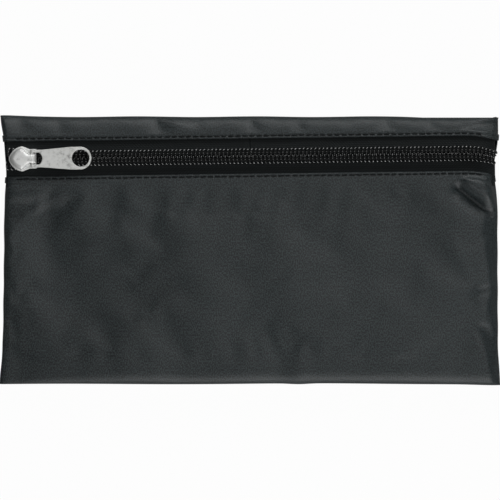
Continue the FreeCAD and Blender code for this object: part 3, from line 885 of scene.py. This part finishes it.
def allowance(side, word):
    """The turned-in edges of a side seam, lying inside the case."""
    low, high = node_box(f"{word}_side_seam")
    inner_low, inner_high = node_box(f"{word}_overedge_thread")
    outer_x = (low[0] if side < 0 else high[0]) + side * 0.9
    inner_x = (inner_high[0] if side < 0 else inner_low[0]) - side * 0.4
    chamfer = side * 0.4
    section = [
        (outer_x, ALLOWANCE_LOW), (outer_x, ALLOWANCE_SHOULDER),
        (outer_x - chamfer, ALLOWANCE_HIGH), (inner_x + chamfer, ALLOWANCE_HIGH),
        (inner_x, ALLOWANCE_SHOULDER), (inner_x, ALLOWANCE_LOW),
    ]
    points = []
    for y in np.linspace(low[1] - 2.0, high[1] + 1.0, ALLOWANCE_ROWS):
        for x, z in section:
            points.append((x + 0.1 * math.sin(y * 0.5 + side), y, z))
    faces = grid_faces(ALLOWANCE_ROWS, len(section), closed=True)
    faces += end_caps(ALLOWANCE_ROWS, len(section))
    if side > 0:
        faces = [face[::-1] for face in faces]
    return np.array(points), faces


def make_pouch_cloth():
    rows, first, last = pouch_rows()
    lines, columns = rows.shape[:2]
    faces = [face[::-1] for face in grid_faces(lines, columns)]
    piece = new_object("pouch_cloth", rows.reshape(-1, 3), faces, flat_uv(rows))
    relax_front(piece, columns, first, last)
    refine(piece)
    fold_corner(piece)
    thicken(piece, CLOTH)
    dress(piece, CLOTH_LOOK)
    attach(piece, "pouch")
    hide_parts("front_panel", "back_panel")
    return piece


def make_allowances():
    for side, word in ((-1, "left"), (1, "right")):
        points, faces = allowance(side, word)
        piece = new_object(f"{word}_allowance", points, faces, points[:, :2] * MM)
        dress(piece, CLOTH_LOOK)
        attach(piece, "pouch")


# The upper side of the zip is in two halves, which meet in the middle of the mouth.
MOUTH_MIDDLE = 0.0
HALVES = {"left": (None, MOUTH_MIDDLE), "right": (MOUTH_MIDDLE, None)}


def open_with_flap(piece):
    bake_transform(piece)


def halved(piece, names):
    """Parts a thickened sheet at the mouth's middle, its shading unbroken across the cut."""
    whole = piece.data
    places = read_points(whole)
    layer = len(places) // 2
    uvs = whole.uv_layers["flat"].data
    faces = [list(polygon.vertices) for polygon in whole.polygons]
    corners = [list(polygon.loop_indices) for polygon in whole.polygons]
    normals = [[tuple(whole.corner_normals[index].vector) for index in face] for face in corners]
    coordinates = [[tuple(uvs[index].uv) for index in face] for face in corners]
    middles = [sum(places[index][0] for index in face) / len(face) for face in faces]
    on_left = [middle < MOUTH_MIDDLE * MM for middle in middles]
    halves = []
    for name, left in zip(names, (True, False)):
        kept = [number for number, side in enumerate(on_left) if side == left]
        edges = {}
        for number in kept:
            face = faces[number]
            for first, second in zip(face, face[1:] + face[:1]):
                edges[first, second] = number
        half_faces = [faces[number] for number in kept]
        half_normals = [normals[number] for number in kept]
        half_coordinates = [coordinates[number] for number in kept]
        for (first, second), number in edges.items():
            if (second, first) not in edges and first < layer and second < layer:
                half_faces.append([second, first, first + layer, second + layer])
                side = (1.0 if left else -1.0, 0.0, 0.0)
                half_normals.append([side] * 4)
                half_coordinates.append([coordinates[number][0]] * 4)
        used = sorted({index for face in half_faces for index in face})
        renumbered = {index: number for number, index in enumerate(used)}
        renumbered_faces = [[renumbered[index] for index in face] for face in half_faces]
        half = new_object(name, places[used] / MM, renumbered_faces)
        layer_uv = half.data.uv_layers.new(name="flat")
        for index, value in enumerate(value for face in half_coordinates for value in face):
            layer_uv.data[index].uv = value
        half.data.normals_split_custom_set([normal for face in half_normals for normal in face])
        halves.append(half)
    bpy.data.objects.remove(piece)
    bpy.data.meshes.remove(whole)
    return halves


def make_strip():
    rows = strip_rows()
    faces = grid_faces(*rows.shape[:2])
    whole = new_object("strip_cloth", rows.reshape(-1, 3), faces, flat_uv(rows))
    refine(whole)
    thicken(whole, CLOTH)
    for piece, half in zip(halved(whole, [f"strip_cloth_{half}" for half in HALVES]), HALVES):
        dress(piece, CLOTH_LOOK)
        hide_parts("top_strip")
        open_with_flap(piece)


# ------------------------------------------------------------------ zip


THROAT = 8.6
WIDEST = 2.6
PARTED = 1.4


def parting(x):
    """How far each coil stands off its closed line, as the slider's diamond holds them apart."""
    throat = SLIDER_LEFT + THROAT
    wide = SLIDER_LEFT + WIDEST
    return PARTED * np.clip((throat - x) / (throat - wide), 0.0, 1.0)


def on_zip(side, points):
    """Points given along the zip, outwards from its middle and up from the tape, on the case."""
    along, out, up = np.asarray(points, float).T
    x = along * ZIP_COS - side * out * ZIP_SIN
    y = zip_middle(along * ZIP_COS) + side * out * ZIP_COS
    return np.stack([x, y, tape_level(x) + up], axis=1)


# The tape's lines, by their distance from the zip's middle. It is 0.12 mm clear of the cloth
# over it beyond the line TAPE_COVERED.
TAPE_LINES = [
    TAPE_NEAR, TAPE_NEAR + 0.25, TAPE_NEAR + 0.7, 2.4, 3.4, 4.4,
    5.6, 6.8, 8.2, 9.6, TAPE_FAR - 0.6, TAPE_FAR,
]
TAPE_COVERED = HEM_GAP + 2.0
TAPE_CLEAR = 0.12
TAPE_SPACING = 1.2


def cover_height(side, x, y):
    """Z of the cloth's outer face over a tape."""
    if side > 0:
        return strip_height(x, y)
    return front_height(x, y) + corner_fold(x, y)


def tape_piece(side, x_low, x_high, name):
    """A woven tape, with a thicker inner edge; its outer part lies under the cloth."""
    low = -WAIST + 0.2 if x_low is None else x_low
    high = WAIST + 0.4 if x_high is None else x_high
    x = np.linspace(low, high, max(int((high - low) / TAPE_SPACING), 2))
    rows = []
    for out in TAPE_LINES:
        edge = 0.12 * bell(out - TAPE_NEAR - 0.3, 0.3) - 0.10 * smooth((out - 3.6) / 3.0)
        wave = 0.06 * ripple(x, 0 * x + out, 11.0, seed=41 + side) * smooth((out - 3.0) / 3.0)
        points = on_zip(side, np.stack([x / ZIP_COS, np.full_like(x, out), edge + wave], axis=1))
        if out > TAPE_COVERED:
            cover = cover_height(side, *points[:, :2].T)
            points[:, 2] = np.minimum(points[:, 2], cover - CLOTH - TAPE_CLEAR)
        rows.append(points)
    rows = np.array(rows)
    faces = grid_faces(*rows.shape[:2])
    if side < 0:
        faces = [face[::-1] for face in faces]
    piece = new_object(name, rows.reshape(-1, 3), faces, flat_uv(rows))
    refine(piece)
    thicken(piece, TAPE)
    dress(piece, TAPE_LOOK)
    return piece


def tube_piece(name, parts, look):
    """A piece made of one or more tubes."""
    piece = new_object(name, *joined(parts))
    dress(piece, look)
    return piece


def coil_path(x, steps=7):
    """One turn of the coil, which starts halfway along a lower leg."""
    radius = COIL_WIRE / 2
    low, high = radius + 0.04, COIL_HIGH - radius
    bend = (high - low) / 2
    head = bend + radius - COIL_HEAD
    slant = math.hypot(high - low, COIL_PITCH) / 2
    tail = COIL_OUT - radius - slant
    shift = parting(x)
    middle = (low + high) / 2
    halfway = (head + tail) / 2 + shift
    points = [(x, halfway, low)]
    for angle in np.radians(np.linspace(270, 90, steps)):
        bulge = 0.12 * math.cos(angle) ** 2
        out = head + shift + bend * math.cos(angle) - bulge
        points.append((x, out, middle + bend * math.sin(angle)))
    points.append((x, halfway, high))
    for turn in math.pi * np.linspace(0, 1, steps):
        done = (1 - math.cos(turn)) / 2
        out = tail + shift + slant * math.sin(turn)
        points.append((x + COIL_PITCH * done, out, high + (low - high) * done))
    return points


def coil_starts(side, x_low, x_high):
    """X of each turn of a coil, between the two limits; the two sides are half a turn apart."""
    count = int(2 * WAIST / COIL_PITCH)
    start = -WAIST + 0.5 + (1 + side) * COIL_PITCH / 4
    starts = (start + index * COIL_PITCH for index in range(count))
    return [x for x in starts if within(x, x_low, x_high)]


def within(x, x_low, x_high):
    return (x_low is None or x >= x_low) and (x_high is None or x < x_high)


def coil_piece(side, x_low, x_high, name):
    path = [point for x in coil_starts(side, x_low, x_high) for point in coil_path(x)]
    return tube_piece(name, [tube(on_zip(side, path), COIL_WIRE / 2, 10)], COIL_LOOK)


def cord_piece(side, x_low, x_high, name):
    """The filler cord that runs through a coil."""
    low = -WAIST + 1.0 if x_low is None else x_low
    high = WAIST - 0.6 if x_high is None else x_high
    along = np.linspace(low, high, max(int(high - low), 4))
    out = CORD_OUT + parting(along)
    path = np.stack([along, out, np.full_like(along, COIL_HIGH / 2)], axis=1)
    return tube_piece(name, [tube(on_zip(side, path), CORD_RADIUS, 10)], CORD_LOOK)


# The stitches on a coil: the two rows' distances from the zip's middle, the two strands of
# each row, and the share of a turn and the height over the coil at four points of a stitch.
COIL_STITCH_ROWS = (0.98, 1.95)
COIL_STITCH_STRANDS = (-0.13, 0.13)
COIL_STITCH = ((0.0, 0.13), (0.22, 0.02), (0.5, -0.42), (0.78, 0.02))
COIL_THREAD_RADIUS = 0.17


def coil_thread_piece(side, x_low, x_high, name):
    """Two rows of stitches that pass over each upper leg and sink between two turns."""
    parts = []
    starts = coil_starts(side, x_low, x_high)
    for out in COIL_STITCH_ROWS:
        lean = 0.30 * (out - 1.0)
        for strand in COIL_STITCH_STRANDS:
            path = []
            for x in starts:
                for share, up in COIL_STITCH:
                    sway = strand * (1 + 0.3 * math.sin(9 * share))
                    path.append((
                        x + lean + share * COIL_PITCH, out + sway + parting(x), COIL_HIGH + up))
            parts.append(tube(on_zip(side, path), COIL_THREAD_RADIUS, 6))
    return tube_piece(name, parts, COIL_THREAD_LOOK)


STITCH_PITCH = 2.9
STITCH_LENGTH = 2.25
STITCH_OUT = 1.1
STITCH_RADIUS = 0.19


def stitches(side, x_low, x_high, name):
    """The row of lockstitches in the groove of a hem."""
    draw = np.random.default_rng(70 + side)
    share = np.linspace(0, 1, 9)
    parts = []
    for x in np.arange(-WAIST + 4.5, WAIST - 5.0, STITCH_PITCH):
        drift = draw.normal(0, 0.06, 2)
        length = STITCH_LENGTH + draw.normal(0, 0.12)
        if within(x, x_low, x_high):
            path = np.stack([
                x + length * share,
                HEM_GAP + STITCH_OUT + drift[0] + (drift[1] - drift[0]) * share,
                0.78 + 0.24 * np.sin(math.pi * share) ** 0.6,
            ], axis=1)
            parts.append(tube(on_zip(side, path), STITCH_RADIUS, 8))
    return tube_piece(name, parts, SEAM_THREAD_LOOK)


ZIP_PIECES = {
    "tape": tape_piece, "coil": coil_piece, "coil_cord": cord_piece,
    "coil_thread": coil_thread_piece, "topstitch": stitches,
}


def make_zip():
    for kind, make in ZIP_PIECES.items():
        piece = make(-1, None, None, f"lower_{kind}_detail")
        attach(piece, "pouch")
        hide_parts(f"lower_{kind}")
        for half, (x_low, x_high) in HALVES.items():
            piece = make(1, x_low, x_high, f"upper_{kind}_{half}")
            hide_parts(f"upper_{kind}")
            open_with_flap(piece)


# ------------------------------------------------------------------ metal


CROWN_SINK = 0.06  # into the slider's body, so that the two become one casting


def tumbled(nodes, name, body, grain, passes, look):
    """The nodes' own shapes as one casting, with every edge and corner worn round."""
    parts = []
    for number, node in enumerate(nodes):
        source = frame["nodes"][node].data
        points = read_points(source) / MM
        points[:, 2] -= CROWN_SINK * number
        parts.append((points, [tuple(polygon.vertices) for polygon in source.polygons]))
    piece = new_object(name, *joined(parts))
    remesh = piece.modifiers.new("cast", "REMESH")
    remesh.mode = "VOXEL"
    remesh.voxel_size = grain * MM
    remesh.use_smooth_shade = True
    wear = piece.modifiers.new("wear", "SMOOTH")
    wear.factor = 0.5
    wear.iterations = passes
    apply_modifiers(piece)
    dress(piece, look)
    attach(piece, body)
    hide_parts(*nodes)


def finish_metal():
    tumbled(["slider_body", "slider_crown"], "slider_casting", "slider", 0.11, 14, METAL_LOOK)
    tumbled(["puller"], "puller_casting", "pull_tab", 0.13, 5, PULLER_LOOK)
    dress(frame["nodes"]["lock_spring"], SPRING_LOOK)
    for side in ("left", "right"):
        for kind in ("side_seam", "overedge_thread"):
            dress(frame["nodes"][f"{side}_{kind}"], SEAM_THREAD_LOOK)


# ------------------------------------------------------------------ stage, light and camera


FLOOR_GLOW = 0.97
FLOOR_HALF = 900.0
FLOOR_LEVEL = -0.4


def floor_material():
    """A floor that the camera sees as white, with a faint contact shadow."""
    surface = Surface("white_floor")
    path = surface.add("ShaderNodeLightPath")
    surface.finish({
        "Base Color": (0.6, 0.6, 0.6, 1.0), "Roughness": 0.9, "Specular IOR Level": 0.1,
    })
    glow = surface.add("ShaderNodeEmission", {"Color": (1.0, 1.0, 1.0, 1.0), "Strength": 1.0})
    share = surface.math("MULTIPLY", path.outputs["Is Camera Ray"], FLOOR_GLOW)
    mix = surface.add(
        "ShaderNodeMixShader", Fac=share,
        _1=surface.shader.outputs["BSDF"], _2=glow.outputs["Emission"])
    output = next(node for node in surface.tree.nodes if node.type == "OUTPUT_MATERIAL")
    surface.tree.links.new(mix.outputs["Shader"], output.inputs["Surface"])
    return surface.material


def make_floor():
    corners = [(-1, -1), (1, -1), (1, 1), (-1, 1)]
    points = [(FLOOR_HALF * x, FLOOR_HALF * y, FLOOR_LEVEL) for x, y in corners]
    floor = new_object("floor", points, [(0, 1, 2, 3)])
    floor.data.materials.append(floor_material())
    floor.visible_diffuse = False
    floor.visible_glossy = False


# The lamps, all aimed at the middle of the case: place, size and power in watts.
LAMPS = {
    "top_softbox": ((160, 660, 300), (800, 240), 3.4),
    "bottom_softbox": ((160, -660, 190), (800, 200), 3.1),
    "overhead": ((300, 40, 1500), (760, 760), 4.7),
}
WORLD_LIGHT = 0.13
WORLD_WHITE = 0.98


def area_light(name, place, size, power):
    data = bpy.data.lights.new(name, "AREA")
    data.shape = "RECTANGLE"
    data.size, data.size_y = (length * MM for length in size)
    data.energy = power
    lamp = bpy.data.objects.new(name, data)
    lamp.location = Vector(place) * MM
    lamp.rotation_euler = (-Vector(place)).to_track_quat("-Z", "Y").to_euler()
    bpy.context.scene.collection.objects.link(lamp)


def make_world():
    """A dim even light on the case, which the camera sees as white."""
    world = bpy.data.worlds.new("studio")
    world.use_nodes = True
    nodes, links = world.node_tree.nodes, world.node_tree.links
    background = next(node for node in nodes if node.type == "BACKGROUND")
    background.inputs["Color"].default_value = (1.0, 1.0, 1.0, 1.0)
    path = nodes.new("ShaderNodeLightPath")
    strength = nodes.new("ShaderNodeMapRange")
    strength.inputs["To Min"].default_value = WORLD_LIGHT
    strength.inputs["To Max"].default_value = WORLD_WHITE
    links.new(path.outputs["Is Camera Ray"], strength.inputs["Value"])
    links.new(strength.outputs["Result"], background.inputs["Strength"])
    bpy.context.scene.world = world


def make_lights():
    for name, (place, size, power) in LAMPS.items():
        area_light(name, place, size, power)
    make_world()


CAMERA_DISTANCE = 1500.0
FRAME_WIDTH = 205.8
FRAME_LEVEL = 4.0
SENSOR_WIDTH = 36.0


def make_camera():
    """A long lens straight above the case."""
    data = bpy.data.cameras.new("camera")
    data.sensor_width = SENSOR_WIDTH
    data.lens = SENSOR_WIDTH * (CAMERA_DISTANCE - FRAME_LEVEL) / FRAME_WIDTH
    data.clip_end = 10.0
    camera = bpy.data.objects.new("camera", data)
    camera.location = (0.0, 0.0, CAMERA_DISTANCE * MM)
    bpy.context.scene.collection.objects.link(camera)
    bpy.context.scene.camera = camera


make_camera()
make_pouch_cloth()
make_allowances()
make_strip()
make_zip()
finish_metal()
make_floor()
make_lights()
bpy.context.scene.view_settings.view_transform = "Standard"
